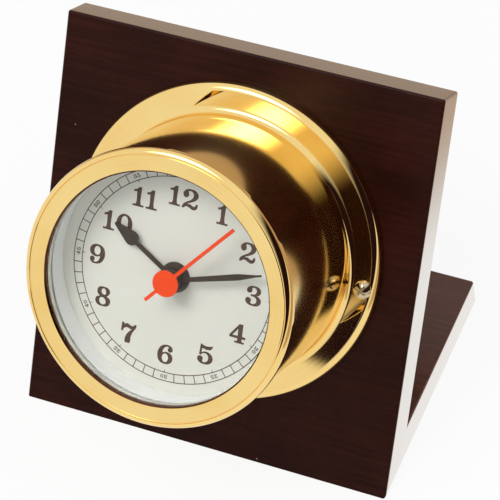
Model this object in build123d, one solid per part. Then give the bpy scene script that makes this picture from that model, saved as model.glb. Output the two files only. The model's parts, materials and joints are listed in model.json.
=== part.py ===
from build123d import *
import os
from math import acos, atan2, cos, degrees, hypot, radians, sin

# Desk clock: a brass ship's-clock case screwed to a leaning lacquered panel on a base board.
# Millimetres and degrees. X runs to the right, Y to the back, Z up.
# The origin is the middle of the base board's underside.

# Stand boards
panel_width = 125.0
panel_height = 130.5
panel_thickness = 12.0
panel_lean = 35.0
base_depth = 80.5
base_thickness = 10.5
board_arris = 0.8
dowel_radius = 2.5
dowel_length = 8.0
dowel_count = 3
dowel_pitch = 40.0
dowel_inner_shift = 4.0
dowel_clearance = 0.05
dowel_end_gap = 0.3

# Battery and its bay in the movement
battery_radius = 7.1
battery_length = 49.2
battery_nub_radius = 2.7
battery_nub_length = 1.3
battery_edge = 0.6
contact_thickness = 0.4
contact_height = 9.0
contact_spring_reach = 1.7
contact_leaf_width = 4.5
bay_clearance = 0.25
bay_partition = 1.3

# Movement housing
housing_wall = 1.5
housing_corner = 6.0
cover_thickness = 1.5
cover_gap = 0.15
post_radius = 1.2

# Gear train: tooth counts, axis distances and angles seen from the front
rotor_pinion_teeth = 8
intermediate_teeth = 48
intermediate_pinion_teeth = 10
seconds_teeth = 50
seconds_pinion_teeth = 8
third_teeth = 60
third_pinion_teeth = 8
centre_teeth = 64
cannon_teeth = 12
minute_wheel_teeth = 36
minute_pinion_teeth = 10
hour_teeth = 40
knob_pinion_teeth = 12
going_distance = 10.0
rotor_distance = 9.8
motion_distance = 8.0
third_angle = 150.0
intermediate_angle = 60.0
rotor_angle = 20.0
minute_wheel_angle = 0.0
knob_angle = -20.0
tooth_addendum = 0.9
tooth_dedendum = 1.2
tooth_tip_share = 0.24
tooth_root_share = 0.54
wheel_thickness = 1.0
pinion_length = 1.6
level_step = 2.0
front_end_play = 0.3
rear_room = 1.6
gear_room = 0.6
running_fit = 0.05
press_fit = 0.01

# Arbors and pipes
arbor_radius = 0.4
pivot_depth = 0.8
seconds_arbor_radius = 0.5
minute_pipe_wall = 0.75
hour_pipe_wall = 1.05
bush_wall = 1.2
stud_radius = 0.6
friction_washer_radius = 3.2
friction_washer_thickness = 0.2

# Setting knob
knob_radius = 5.0
knob_thickness = 3.0
knob_ridges = 24
knob_ridge_depth = 0.35
knob_gap = 0.4
knob_shaft_radius = 0.75

# Stepping motor and electronics
magnet_radius = 2.6
magnet_thickness = 1.6
magnet_air_gap = 0.4
pole_width = 2.4
stator_thickness = 1.2
stator_limb = 3.0
coil_radius = 3.0
coil_length = 20.0
coil_offset = -4.0
bobbin_tube_radius = 2.0
bobbin_flange_radius = 3.3
bobbin_flange_thickness = 0.8
bobbin_core_clearance = 0.05
board_width = 6.8
board_length = 22.0
board_middle = 3.0
board_post_spacing = 17.0
board_thickness = 1.0
board_back_room = 2.4
crystal_can_radius = 1.0
crystal_can_length = 6.0
crystal_can_offset = 6.0
chip_radius = 2.2
chip_height = 0.8

# Brass case, from the bore outwards and from the panel forwards
movement_clearance = 2.42
movement_rear_room = 20.5
case_wall = 2.6
foot_fillet = 2.2
flange_width = 9.4
flange_thickness = 4.0
flange_edge_radius = 2.4
flange_top_margin = 9.5
access_ledge = 4.0
dial_ledge = 0.8
seat_clearance = 0.1

# Bezel, crystal, dial and rehaut
bezel_overhang = 1.45
bezel_fit = 0.05
bezel_spigot = 0.8
bezel_lip = 5.6
bezel_lip_depth = 3.8
bezel_edge_radius = 1.8
bezel_inner_chamfer = 0.5
bezel_line_width = 0.3
bezel_line_depth = 0.25
crystal_thickness = 1.8
crystal_clearance = 0.3
gasket_thickness = 0.5
gasket_inset = 0.6
rehaut_height = 8.9
rehaut_top_inset = 0.4
rehaut_foot_inset = 2.4
dial_thickness = 0.6
dial_foot_radius = 0.8
dial_foot_length = 1.3
dial_foot_spacing = 43.0
dial_foot_height = 17.0

# Flange screws near three and nine o'clock
screw_angle = -3.4
screw_head_radius = 2.9
screw_head_gap = 0.1
screw_head_height = 2.0
screw_shank_radius = 1.5
screw_shank_length = 12.0
screw_point_length = 2.0
screw_hole_clearance = 0.2
pilot_clearance = 0.02
recess_width = 0.8
recess_span = 3.4
recess_depth = 1.1

# Hands: lengths from the axis, half widths, heights above the dial, clock angles
hour_angle = 301.5
hour_length = 24.2
hour_boss_radius = 4.75
hour_boss_thickness = 1.85
hour_boss_rim = 0.6
hour_boss_top = 3.6
hour_rise = 0.25
hour_blade_rise = 1.3
hour_stem = 0.68
hour_drop_middle = 17.4
hour_drop_radius = 2.3
hour_tip_half = 0.5
minute_angle = 72.6
minute_length = 29.8
minute_boss_radius = 3.4
minute_boss_thickness = 1.0
minute_boss_chamfer = 0.35
minute_rise = 3.6
minute_root_half = 0.6
minute_leaf_start = 22.4
minute_leaf_half = 0.97
minute_neck = 28.2
minute_tip_half = 0.28
seconds_angle = 41.4
seconds_length = 29.2
seconds_tail = 8.85
seconds_half = 0.55
seconds_disc_radius = 4.1
seconds_rise = 7.2
seconds_socket_radius = 1.1
seconds_socket_length = 1.8
hand_thickness = 0.5

# How far a cutting tool runs past the face that it cuts
cut_margin = 1.0

# Lean of the panel: unit steps up its face and out of its face
lean = radians(panel_lean)
up_y = sin(lean)
up_z = cos(lean)
out_y = -cos(lean)
out_z = sin(lean)

# The boards meet on a mitre from the bottom front edge to the inner corner
inner_slope = (base_thickness + panel_thickness * out_z) / up_z
inner_y = inner_slope * up_y - panel_thickness * out_y
mitre_angle = degrees(atan2(base_thickness, inner_y))

# Battery bay and housing outline, with the clock's axis at zero
bay_length = battery_length + battery_nub_length + 2 * contact_thickness + contact_spring_reach
bay_height = 2 * (battery_radius + bay_clearance)
going_module_third = 2 * going_distance / (third_teeth + seconds_pinion_teeth)
going_module_centre = 2 * going_distance / (centre_teeth + third_pinion_teeth)
going_module_seconds = 2 * going_distance / (seconds_teeth + intermediate_pinion_teeth)
rotor_module = 2 * rotor_distance / (intermediate_teeth + rotor_pinion_teeth)
motion_module_minute = 2 * motion_distance / (minute_wheel_teeth + cannon_teeth)
motion_module_hour = 2 * motion_distance / (hour_teeth + minute_pinion_teeth)
knob_distance = motion_module_minute * (minute_wheel_teeth + knob_pinion_teeth) / 2


def tip_radius(teeth, module):
    return module * (teeth / 2 + tooth_addendum)


def step_from(start, distance, direction):
    turn = radians(direction)
    return (start[0] + distance * cos(turn), start[1] + distance * sin(turn))


centre_axis = (0.0, 0.0)
third_axis = step_from(centre_axis, going_distance, third_angle)
intermediate_axis = step_from(centre_axis, going_distance, intermediate_angle)
rotor_axis = step_from(intermediate_axis, rotor_distance, rotor_angle)
minute_wheel_axis = step_from(centre_axis, motion_distance, minute_wheel_angle)
knob_axis = step_from(minute_wheel_axis, knob_distance, knob_angle)

# The circuit board stands left of the third wheel, and the housing spans it and the battery bay
board_right = third_axis[0] - tip_radius(third_teeth, going_module_third) - gear_room
board_left = board_right - board_width
board_centre = (board_left + board_right) / 2
board_post_places = [(board_centre, board_middle + side * board_post_spacing / 2) for side in (-1, 1)]
housing_half_width = max(bay_length / 2, gear_room - board_left) + housing_wall
train_bottom = -tip_radius(centre_teeth, going_module_centre) - gear_room
bay_top = train_bottom - bay_partition
bay_middle = bay_top - bay_height / 2
housing_bottom = bay_top - bay_height - housing_wall
intermediate_reach = intermediate_axis[1] + tip_radius(intermediate_teeth, rotor_module)
coil_height = intermediate_reach + gear_room + bobbin_flange_radius
train_top = coil_height + bobbin_flange_radius + gear_room
housing_top = train_top + housing_wall
train_depth = front_end_play + wheel_thickness + 6 * level_step + rear_room
housing_depth = housing_wall + train_depth + cover_thickness

# Radii of the case
lower_corner = hypot(housing_half_width - housing_corner, -housing_bottom - housing_corner)
upper_corner = hypot(housing_half_width - housing_corner, housing_top - housing_corner)
case_bore = max(lower_corner, upper_corner) + housing_corner + movement_clearance
case_radius = case_bore + case_wall
seat_radius = case_bore + dial_ledge
foot_end = case_radius + foot_fillet
flange_radius = case_radius + flange_width
access_radius = case_bore - access_ledge
opening_radius = case_radius - bezel_lip
spigot_radius = seat_radius - bezel_fit
bezel_radius = case_radius + bezel_overhang
screw_circle = foot_end + screw_head_gap + screw_head_radius

# Heights above the panel's face, along the clock's axis
foot_top = flange_thickness + foot_fillet
housing_back = movement_rear_room
cover_front = housing_back + cover_thickness
dial_back = housing_back + housing_depth
chamber_front = dial_back - housing_wall
dial_front = dial_back + dial_thickness
crystal_back = dial_front + rehaut_height
crystal_front = crystal_back + crystal_thickness
lip_back = crystal_front + gasket_thickness
bezel_front = lip_back + bezel_lip_depth
case_front = lip_back + bezel_spigot
first_level = chamber_front - front_end_play - wheel_thickness / 2
hour_level, cannon_level, centre_level, third_level, seconds_level, magnet_level, rotor_level = [
    first_level - level_step * step for step in range(7)
]
board_level = cover_front + board_back_room
board_front = board_level + board_thickness

# Radii of the pipes, each running inside the next
minute_bore = seconds_arbor_radius + running_fit
minute_pipe = minute_bore + minute_pipe_wall
hour_bore = minute_pipe + running_fit
hour_pipe = hour_bore + hour_pipe_wall
bush_bore = hour_pipe + running_fit
bush_radius = bush_bore + bush_wall
pivot_hole = arbor_radius + running_fit

# Place of the clock on the panel: local X to the right, local Y up the slope, local Z outwards
clock_slope = panel_height - flange_top_margin - flange_radius
clock_plane = Plane(
    origin=(0, clock_slope * up_y - base_depth / 2, clock_slope * up_z),
    x_dir=(1, 0, 0),
    z_dir=(0, out_y, out_z),
)


def disc(radius, low, high, axis=(0.0, 0.0)):
    return Pos(axis[0], axis[1], low) * extrude(Circle(radius), high - low)


def tube(outer, inner, low, high, axis=(0.0, 0.0)):
    return disc(outer, low, high, axis) - disc(inner, low, high, axis)


def block(left, right, bottom, top, low, high):
    middle = Pos((left + right) / 2, (bottom + top) / 2, low)
    return middle * extrude(Rectangle(right - left, top - bottom), high - low)


def turned(*edges):
    return revolve(Plane.XZ * make_face(list(edges)), Axis.Z)


def turned_polygon(*points):
    return revolve(Plane.XZ * make_face(Polyline(*points, close=True)), Axis.Z)


def toothed(teeth, module, level, thickness, axis, phase):
    pitch = 360 / teeth
    root = module * (teeth / 2 - tooth_dedendum)
    tip = tip_radius(teeth, module)
    corners = (
        (root, -tooth_root_share),
        (tip, -tooth_tip_share),
        (tip, tooth_tip_share),
        (root, tooth_root_share),
    )
    outline = [
        step_from(axis, radius, phase + pitch * (tooth + share / 2))
        for tooth in range(teeth)
        for radius, share in corners
    ]
    face = make_face(Polyline(*outline, close=True))
    return Pos(0, 0, level - thickness / 2) * extrude(face, thickness)


def meshing_phase(direction, teeth):
    # A tooth of the driver points along direction, so a gap of this gear faces it
    return direction + 180 + 180 / teeth


def arbor(axis, low, high, radius=arbor_radius):
    return disc(radius, low - pivot_depth, high + pivot_depth, axis)


# Stand
def board_profile(points):
    shifted = [(y - base_depth / 2, z) for y, z in points]
    return extrude(Plane.YZ * make_face(Polyline(*shifted, close=True)), panel_width / 2, both=True)


mitre_middle = Vector(0, inner_y / 2 - base_depth / 2, base_thickness / 2)
mitre_normal = Vector(0, -sin(radians(mitre_angle)), cos(radians(mitre_angle)))


def round_arrises(board):
    free = [edge for edge in board.edges() if abs((edge.center() - mitre_middle).dot(mitre_normal)) > 1]
    return fillet(free, board_arris)


def dowels(radius, length):
    plane = Plane(origin=mitre_middle, x_dir=(1, 0, 0), z_dir=mitre_normal)
    first = -dowel_pitch * (dowel_count - 1) / 2
    pegs = [
        plane * Pos(first + dowel_pitch * peg, dowel_inner_shift, 0) * Cylinder(radius, length)
        for peg in range(dowel_count)
    ]
    return Compound(pegs)


def drilled(board):
    for hole in dowels(dowel_radius + dowel_clearance, dowel_length + 2 * dowel_end_gap).solids():
        board = board - hole
    return board


def screw_places():
    return [step_from(centre_axis, side * screw_circle, screw_angle) for side in (-1, 1)]


def make_base_board():
    points = [(0, 0), (base_depth, 0), (base_depth, base_thickness), (inner_y, base_thickness)]
    return drilled(round_arrises(board_profile(points)))


def make_front_panel():
    top = (panel_height * up_y, panel_height * up_z)
    top_back = (top[0] - panel_thickness * out_y, top[1] - panel_thickness * out_z)
    board = board_profile([(0, 0), top, top_back, (inner_y, base_thickness)])
    board = drilled(round_arrises(board))
    board = board - clock_plane * disc(access_radius, -panel_thickness - cut_margin, cut_margin)
    pilot_radius = screw_shank_radius + pilot_clearance
    for place in screw_places():
        pilot = disc(pilot_radius, flange_thickness - screw_shank_length, cut_margin, place)
        board = board - clock_plane * pilot
    return board


# Case
def make_case_body():
    edge = flange_radius - flange_edge_radius
    edge_low = flange_thickness - flange_edge_radius
    body = turned(
        Polyline((case_bore, dial_back), (case_bore, 0), (flange_radius, 0), (flange_radius, edge_low)),
        TangentArc((flange_radius, edge_low), (edge, flange_thickness), tangent=(0, 1)),
        Line((edge, flange_thickness), (foot_end, flange_thickness)),
        TangentArc((foot_end, flange_thickness), (case_radius, foot_top), tangent=(-1, 0)),
        Polyline(
            (case_radius, foot_top),
            (case_radius, case_front),
            (seat_radius, case_front),
            (seat_radius, dial_back),
            (case_bore, dial_back),
        ),
    )
    for place in screw_places():
        body = body - disc(screw_shank_radius + screw_hole_clearance, -cut_margin, foot_top, place)
    return body


def make_bezel():
    corner = bezel_radius - bezel_edge_radius
    shoulder = bezel_front - bezel_edge_radius
    chamfer_end = opening_radius + bezel_inner_chamfer
    line_floor = bezel_front - bezel_line_depth
    return turned(
        Polyline(
            (spigot_radius, lip_back),
            (spigot_radius, case_front),
            (bezel_radius, case_front),
            (bezel_radius, shoulder),
        ),
        TangentArc((bezel_radius, shoulder), (corner, bezel_front), tangent=(0, 1)),
        Polyline(
            (corner, bezel_front),
            (corner, line_floor),
            (corner - bezel_line_width, line_floor),
            (corner - bezel_line_width, bezel_front),
            (chamfer_end, bezel_front),
            (opening_radius, bezel_front - bezel_inner_chamfer),
            (opening_radius, lip_back),
            (spigot_radius, lip_back),
        ),
    )


def make_crystal():
    return disc(seat_radius - crystal_clearance, crystal_back, crystal_front)


def make_crystal_gasket():
    outer = seat_radius - crystal_clearance
    return tube(outer, opening_radius + gasket_inset, crystal_front, lip_back)


def make_rehaut_ring():
    outer = seat_radius - seat_clearance
    return turned_polygon(
        (outer, dial_front),
        (outer, crystal_back),
        (opening_radius + rehaut_top_inset, crystal_back),
        (outer - rehaut_foot_inset, dial_front),
    )


def make_dial():
    return tube(seat_radius - seat_clearance, bush_radius + seat_clearance, dial_back, dial_front)


def dial_foot_places():
    return [(side * dial_foot_spacing / 2, dial_foot_height) for side in (-1, 1)]


def make_dial_feet():
    low = dial_back - dial_foot_length
    return Compound([disc(dial_foot_radius, low, dial_back, place) for place in dial_foot_places()])


def make_flange_screws():
    head_top = flange_thickness + screw_head_height
    shank_end = flange_thickness - screw_shank_length
    taper_start = shank_end + screw_point_length
    rim = flange_thickness + screw_head_height / 4
    blank = turned(
        Polyline(
            (0, shank_end),
            (screw_shank_radius, taper_start),
            (screw_shank_radius, flange_thickness),
            (screw_head_radius, flange_thickness),
            (screw_head_radius, rim),
        ),
        TangentArc((0, head_top), (screw_head_radius, rim), tangent=(1, 0)),
        Line((0, head_top), (0, shank_end)),
    )
    half = recess_span / 2
    wing = recess_width / 2
    floor = head_top - recess_depth
    slot = block(-half, half, -wing, wing, floor, head_top + cut_margin)
    blank = blank - slot - Rot(0, 0, 90) * slot
    return Compound([Pos(place[0], place[1], 0) * blank for place in screw_places()])


# Hands point to twelve when drawn
def hand(outline, low, boss, bore, angle):
    blade = Pos(0, 0, low) * extrude(outline, hand_thickness)
    return Rot(0, 0, -angle) * (blade + boss - bore)


def make_hour_hand():
    low = dial_front + hour_rise
    high = low + hour_boss_thickness
    tip = hour_length - hour_tip_half
    # The drop's sides leave its circle on lines that touch both the circle and the rounded tip
    lean_in = acos((hour_drop_radius - hour_tip_half) / (tip - hour_drop_middle))
    side = [
        (hour_drop_radius * sin(lean_in), hour_drop_middle + hour_drop_radius * cos(lean_in)),
        (hour_tip_half * sin(lean_in), tip + hour_tip_half * cos(lean_in)),
    ]
    mirrored = [(-x, y) for x, y in reversed(side)]
    taper = make_face(Polyline(*side, *mirrored, close=True))
    stem = Pos(0, hour_drop_middle / 2) * Rectangle(2 * hour_stem, hour_drop_middle)
    drop = Pos(0, hour_drop_middle) * Circle(hour_drop_radius)
    outline = stem + drop + taper + Pos(0, tip) * Circle(hour_tip_half)
    boss = turned_polygon(
        (0, low),
        (hour_boss_radius, low),
        (hour_boss_radius, low + hour_boss_rim),
        (hour_boss_top, high),
        (0, high),
    )
    bore = disc(hour_pipe + press_fit, low, high)
    return hand(outline, low + hour_blade_rise, boss, bore, hour_angle)


def make_minute_hand():
    low = dial_front + minute_rise
    high = low + minute_boss_thickness
    half = [
        (minute_root_half, 0),
        (minute_leaf_half, minute_leaf_start),
        (minute_tip_half, minute_neck),
        (minute_tip_half, minute_length),
    ]
    mirrored = [(-x, y) for x, y in reversed(half)]
    outline = make_face(Polyline(*half, *mirrored, close=True))
    blade_low = low + (minute_boss_thickness - hand_thickness) / 2
    boss = turned_polygon(
        (0, low),
        (minute_boss_radius, low),
        (minute_boss_radius, high - minute_boss_chamfer),
        (minute_boss_radius - minute_boss_chamfer, high),
        (0, high),
    )
    bore = disc(minute_pipe + press_fit, low, high)
    return hand(outline, blade_low, boss, bore, minute_angle)


def make_seconds_hand():
    low = dial_front + seconds_rise
    high = low + hand_thickness
    length = seconds_length + seconds_tail
    outline = Pos(0, (seconds_length - seconds_tail) / 2) * Rectangle(2 * seconds_half, length)
    socket = disc(seconds_socket_radius, low - seconds_socket_length, low)
    boss = disc(seconds_disc_radius, low, high) + socket
    bore = disc(seconds_arbor_radius + press_fit, low - seconds_socket_length, low)
    return hand(outline, low, boss, bore, seconds_angle)


# Movement: going train, motion work and the wheels' phases in mesh
def make_hour_wheel():
    wheel = toothed(
        hour_teeth,
        motion_module_hour,
        hour_level,
        wheel_thickness,
        centre_axis,
        meshing_phase(minute_wheel_angle + 180, hour_teeth),
    )
    wheel = wheel + disc(hour_pipe, hour_level, dial_front + hour_rise + hour_boss_thickness)
    bottom = hour_level - wheel_thickness
    return wheel - disc(hour_bore, bottom, bezel_front)


def make_minute_arbor():
    low = centre_level - wheel_thickness / 2 - gear_room
    high = dial_front + minute_rise + minute_boss_thickness
    cannon = toothed(
        cannon_teeth, motion_module_minute, cannon_level, pinion_length, centre_axis, minute_wheel_angle
    )
    return cannon + disc(minute_pipe, low, high) - disc(minute_bore, low, high)


def make_friction_washer():
    inner = minute_pipe + press_fit
    top = cannon_level - pinion_length / 2
    bottom = centre_level + wheel_thickness / 2 + running_fit
    return turned_polygon(
        (inner, top),
        (inner, top - friction_washer_thickness),
        (friction_washer_radius, bottom),
        (friction_washer_radius, bottom + friction_washer_thickness),
    )


def make_centre_wheel():
    wheel = toothed(
        centre_teeth,
        going_module_centre,
        centre_level,
        wheel_thickness,
        centre_axis,
        meshing_phase(third_angle + 180, centre_teeth),
    )
    bore = minute_pipe + running_fit
    return wheel - disc(bore, centre_level - wheel_thickness, centre_level + wheel_thickness)


def make_minute_wheel():
    wheel = toothed(
        minute_wheel_teeth,
        motion_module_minute,
        cannon_level,
        wheel_thickness,
        minute_wheel_axis,
        meshing_phase(minute_wheel_angle, minute_wheel_teeth),
    )
    pinion = toothed(
        minute_pinion_teeth,
        motion_module_hour,
        hour_level,
        pinion_length,
        minute_wheel_axis,
        minute_wheel_angle + 180,
    )
    low = cannon_level - wheel_thickness / 2
    hub = disc(stud_radius + 2 * running_fit + arbor_radius, low, hour_level, minute_wheel_axis)
    high = hour_level + pinion_length
    return wheel + pinion + hub - disc(stud_radius + running_fit, low, high, minute_wheel_axis)


def make_third_wheel():
    wheel = toothed(
        third_teeth,
        going_module_third,
        third_level,
        wheel_thickness,
        third_axis,
        meshing_phase(third_angle, third_teeth),
    )
    pinion = toothed(
        third_pinion_teeth,
        going_module_centre,
        centre_level,
        pinion_length,
        third_axis,
        third_angle + 180,
    )
    return wheel + pinion + arbor(third_axis, cover_front, chamber_front)


def make_seconds_wheel():
    wheel = toothed(
        seconds_teeth,
        going_module_seconds,
        seconds_level,
        wheel_thickness,
        centre_axis,
        meshing_phase(intermediate_angle + 180, seconds_teeth),
    )
    pinion = toothed(
        seconds_pinion_teeth, going_module_third, third_level, pinion_length, centre_axis, third_angle
    )
    front = dial_front + seconds_rise
    return wheel + pinion + disc(seconds_arbor_radius, cover_front - pivot_depth, front)


def make_intermediate_wheel():
    wheel = toothed(
        intermediate_teeth,
        rotor_module,
        rotor_level,
        wheel_thickness,
        intermediate_axis,
        meshing_phase(rotor_angle + 180, intermediate_teeth),
    )
    pinion = toothed(
        intermediate_pinion_teeth,
        going_module_seconds,
        seconds_level,
        pinion_length,
        intermediate_axis,
        intermediate_angle + 180,
    )
    return wheel + pinion + arbor(intermediate_axis, cover_front, chamber_front)


def make_rotor():
    pinion = toothed(
        rotor_pinion_teeth, rotor_module, rotor_level, pinion_length, rotor_axis, rotor_angle + 180
    )
    low = magnet_level - magnet_thickness / 2
    magnet = disc(magnet_radius, low, low + magnet_thickness, rotor_axis)
    return pinion + magnet + arbor(rotor_axis, cover_front, chamber_front)


def make_setting_knob():
    pitch = 360 / knob_ridges
    rim = [
        step_from(knob_axis, knob_radius - knob_ridge_depth * (half % 2), pitch * half / 2)
        for half in range(2 * knob_ridges)
    ]
    high = housing_back - knob_gap
    grip = Pos(0, 0, high - knob_thickness) * extrude(make_face(Polyline(*rim, close=True)), knob_thickness)
    shaft = disc(knob_shaft_radius, high, chamber_front + pivot_depth, knob_axis)
    pinion = toothed(
        knob_pinion_teeth,
        motion_module_minute,
        cannon_level,
        pinion_length,
        knob_axis,
        knob_pinion_phase(),
    )
    return grip + shaft + pinion


def knob_pinion_phase():
    # The minute wheel's nearest tooth lies off the line to the knob by this angle
    pitch = 360 / minute_wheel_teeth
    offset = (meshing_phase(minute_wheel_angle, minute_wheel_teeth) - knob_angle) % pitch
    ratio = minute_wheel_teeth / knob_pinion_teeth
    return meshing_phase(knob_angle, knob_pinion_teeth) - ratio * offset


# Stator: a closed loop of iron through the coil, with the rotor's pole at one corner
core_left = coil_offset - coil_length / 2 - stator_limb
core_right = rotor_axis[0] + stator_limb / 2
core_places = [(core_left, coil_height), (core_right - stator_limb / 2, coil_height)]


def make_stator():
    low = magnet_level - stator_thickness / 2
    high = low + stator_thickness
    half = stator_limb / 2
    left = core_left - half
    pole = magnet_radius + magnet_air_gap + pole_width
    core = block(left, core_right, coil_height - half, coil_height + half, low, high)
    left_limb = block(left, left + stator_limb, rotor_axis[1] - half, coil_height, low, high)
    lower_limb = block(left, rotor_axis[0], rotor_axis[1] - half, rotor_axis[1] + half, low, high)
    right_limb = block(core_right - stator_limb, core_right, rotor_axis[1], coil_height, low, high)
    loop = core + left_limb + lower_limb + right_limb + disc(pole, low, high, rotor_axis)
    return loop - disc(magnet_radius + magnet_air_gap, low - cut_margin, high + cut_margin, rotor_axis)


def make_coil_bobbin():
    half = coil_length / 2
    spool = turned_polygon(
        (0, -half),
        (bobbin_flange_radius, -half),
        (bobbin_flange_radius, bobbin_flange_thickness - half),
        (bobbin_tube_radius, bobbin_flange_thickness - half),
        (bobbin_tube_radius, half - bobbin_flange_thickness),
        (bobbin_flange_radius, half - bobbin_flange_thickness),
        (bobbin_flange_radius, half),
        (0, half),
    )
    width = stator_limb + 2 * bobbin_core_clearance
    thickness = stator_thickness + 2 * bobbin_core_clearance
    core = extrude(Rectangle(thickness, width), half, both=True)
    return Pos(coil_offset, coil_height, magnet_level) * Rot(0, 90, 0) * (spool - core)


def make_coil_winding():
    half = coil_length / 2 - bobbin_flange_thickness
    ring = tube(coil_radius, bobbin_tube_radius, -half, half)
    return Pos(coil_offset, coil_height, magnet_level) * Rot(0, 90, 0) * ring


# Electronics on a strip of board beside the third wheel
def make_circuit_board():
    half = board_length / 2
    return block(board_left, board_right, board_middle - half, board_middle + half, board_level, board_front)


def make_quartz_crystal():
    centre = (board_centre, board_middle + crystal_can_offset / 2, board_front + crystal_can_radius)
    return Pos(*centre) * Rot(90, 0, 0) * Cylinder(crystal_can_radius, crystal_can_length)


def make_control_chip():
    axis = (board_centre, board_middle - crystal_can_offset / 2)
    return disc(chip_radius, board_front, board_front + chip_height, axis)


# Battery bay
bay_front = chamber_front
battery_level = bay_front - bay_clearance - battery_radius
bay_right = bay_length / 2
nub_end = bay_right - contact_thickness
battery_right = nub_end - battery_nub_length
battery_left = battery_right - battery_length


def make_battery():
    can = turned_polygon(
        (0, battery_left),
        (battery_radius - battery_edge, battery_left),
        (battery_radius, battery_left + battery_edge),
        (battery_radius, battery_right - battery_edge),
        (battery_radius - battery_edge, battery_right),
        (battery_nub_radius, battery_right),
        (battery_nub_radius, nub_end),
        (0, nub_end),
    )
    return Pos(0, bay_middle, battery_level) * Rot(0, 90, 0) * can


def contact_plate(left, right):
    half = contact_height / 2
    return block(left, right, bay_middle - half, bay_middle + half, battery_level - half, bay_front)


def make_positive_contact():
    return contact_plate(nub_end, bay_right)


def make_negative_contact():
    plate = contact_plate(-bay_right, contact_thickness - bay_right)
    root = contact_thickness - bay_right
    half = contact_height / 2
    leaf = Polyline(
        (root, battery_level - half),
        (battery_left, battery_level),
        (root, battery_level + half),
        (root, battery_level + half - contact_thickness),
        (battery_left - contact_thickness, battery_level),
        (root, battery_level - half + contact_thickness),
        close=True,
    )
    tongue = extrude(Plane.XZ * make_face(leaf), contact_leaf_width / 2, both=True)
    return plate + Pos(0, bay_middle, 0) * tongue


# Movement housing: train chamber above, battery bay below, both open to the back
def housing_outline(low, high, inset=0.0):
    width = 2 * (housing_half_width - inset)
    height = housing_top - housing_bottom - 2 * inset
    middle = (housing_top + housing_bottom) / 2
    face = RectangleRounded(width, height, housing_corner - inset)
    return Pos(0, middle, low) * extrude(face, high - low)


def above(height, low, high):
    return block(-housing_half_width, housing_half_width, height, housing_top, low, high)


def make_movement_housing():
    shell = housing_outline(housing_back, dial_back)
    chamber = housing_outline(cover_front, chamber_front, housing_wall)
    chamber = chamber & above(train_bottom, cover_front, chamber_front)
    cover_step = train_bottom - bay_partition / 2
    rebate = housing_outline(housing_back, cover_front) & above(cover_step, housing_back, cover_front)
    half = bay_length / 2
    bay = block(-half, half, bay_middle - bay_height / 2, bay_top, housing_back, bay_front)
    shell = shell - chamber - rebate - bay
    shell = shell - disc(bush_radius + press_fit, chamber_front, dial_back)
    for place in dial_foot_places():
        shell = shell - disc(dial_foot_radius + press_fit, dial_back - dial_foot_length, dial_back, place)
    for place in core_places:
        shell = shell + disc(post_radius, magnet_level + stator_thickness / 2, chamber_front, place)
    for place in board_post_places:
        shell = shell + disc(post_radius, board_front, chamber_front, place)
    shell = shell + disc(stud_radius, cannon_level - wheel_thickness / 2, chamber_front, minute_wheel_axis)
    for axis in (third_axis, intermediate_axis, rotor_axis):
        shell = shell - disc(pivot_hole, chamber_front, chamber_front + pivot_depth + running_fit, axis)
    knob_hole = knob_shaft_radius + running_fit
    return shell - disc(knob_hole, chamber_front, chamber_front + pivot_depth + running_fit, knob_axis)


def make_movement_cover():
    bottom = train_bottom - bay_partition / 2 + cover_gap
    plate = housing_outline(housing_back, cover_front) & above(bottom, housing_back, cover_front)
    for axis in (third_axis, intermediate_axis, rotor_axis):
        plate = plate - disc(pivot_hole, cover_front - pivot_depth - running_fit, cover_front, axis)
    seconds_hole = seconds_arbor_radius + running_fit
    plate = plate - disc(seconds_hole, cover_front - pivot_depth - running_fit, cover_front)
    return plate - disc(knob_shaft_radius + running_fit, housing_back, cover_front, knob_axis)


def make_centre_bush():
    return tube(bush_radius, bush_bore, chamber_front, dial_front)


stand_nodes = {
    "front_panel": make_front_panel,
    "base_board": make_base_board,
}
clock_nodes = {
    "case_body": make_case_body,
    "flange_screws": make_flange_screws,
    "bezel": make_bezel,
    "crystal": make_crystal,
    "crystal_gasket": make_crystal_gasket,
    "rehaut_ring": make_rehaut_ring,
    "dial": make_dial,
    "dial_feet": make_dial_feet,
    "hour_hand": make_hour_hand,
    "minute_hand": make_minute_hand,
    "seconds_hand": make_seconds_hand,
    "centre_bush": make_centre_bush,
    "hour_wheel": make_hour_wheel,
    "minute_arbor": make_minute_arbor,
    "friction_washer": make_friction_washer,
    "centre_wheel": make_centre_wheel,
    "minute_wheel": make_minute_wheel,
    "third_wheel": make_third_wheel,
    "seconds_wheel": make_seconds_wheel,
    "intermediate_wheel": make_intermediate_wheel,
    "rotor": make_rotor,
    "stator": make_stator,
    "coil_bobbin": make_coil_bobbin,
    "coil_winding": make_coil_winding,
    "circuit_board": make_circuit_board,
    "quartz_crystal": make_quartz_crystal,
    "control_chip": make_control_chip,
    "battery": make_battery,
    "positive_contact": make_positive_contact,
    "negative_contact": make_negative_contact,
    "movement_housing": make_movement_housing,
    "movement_cover": make_movement_cover,
    "setting_knob": make_setting_knob,
}

os.makedirs("parts", exist_ok=True)
for name, make in stand_nodes.items():
    export_step(make(), f"parts/{name}.step")
export_step(dowels(dowel_radius, dowel_length), "parts/mitre_dowels.step")
for name, make in clock_nodes.items():
    export_step(clock_plane * make(), f"parts/{name}.step")
print("case radius", round(case_radius, 2), "flange radius", round(flange_radius, 2))
print("bezel front", round(bezel_front, 2), "clock up the slope", round(clock_slope, 2))
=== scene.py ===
import json
import math

import bmesh
import bpy
from mathutils import Matrix, Vector


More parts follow.
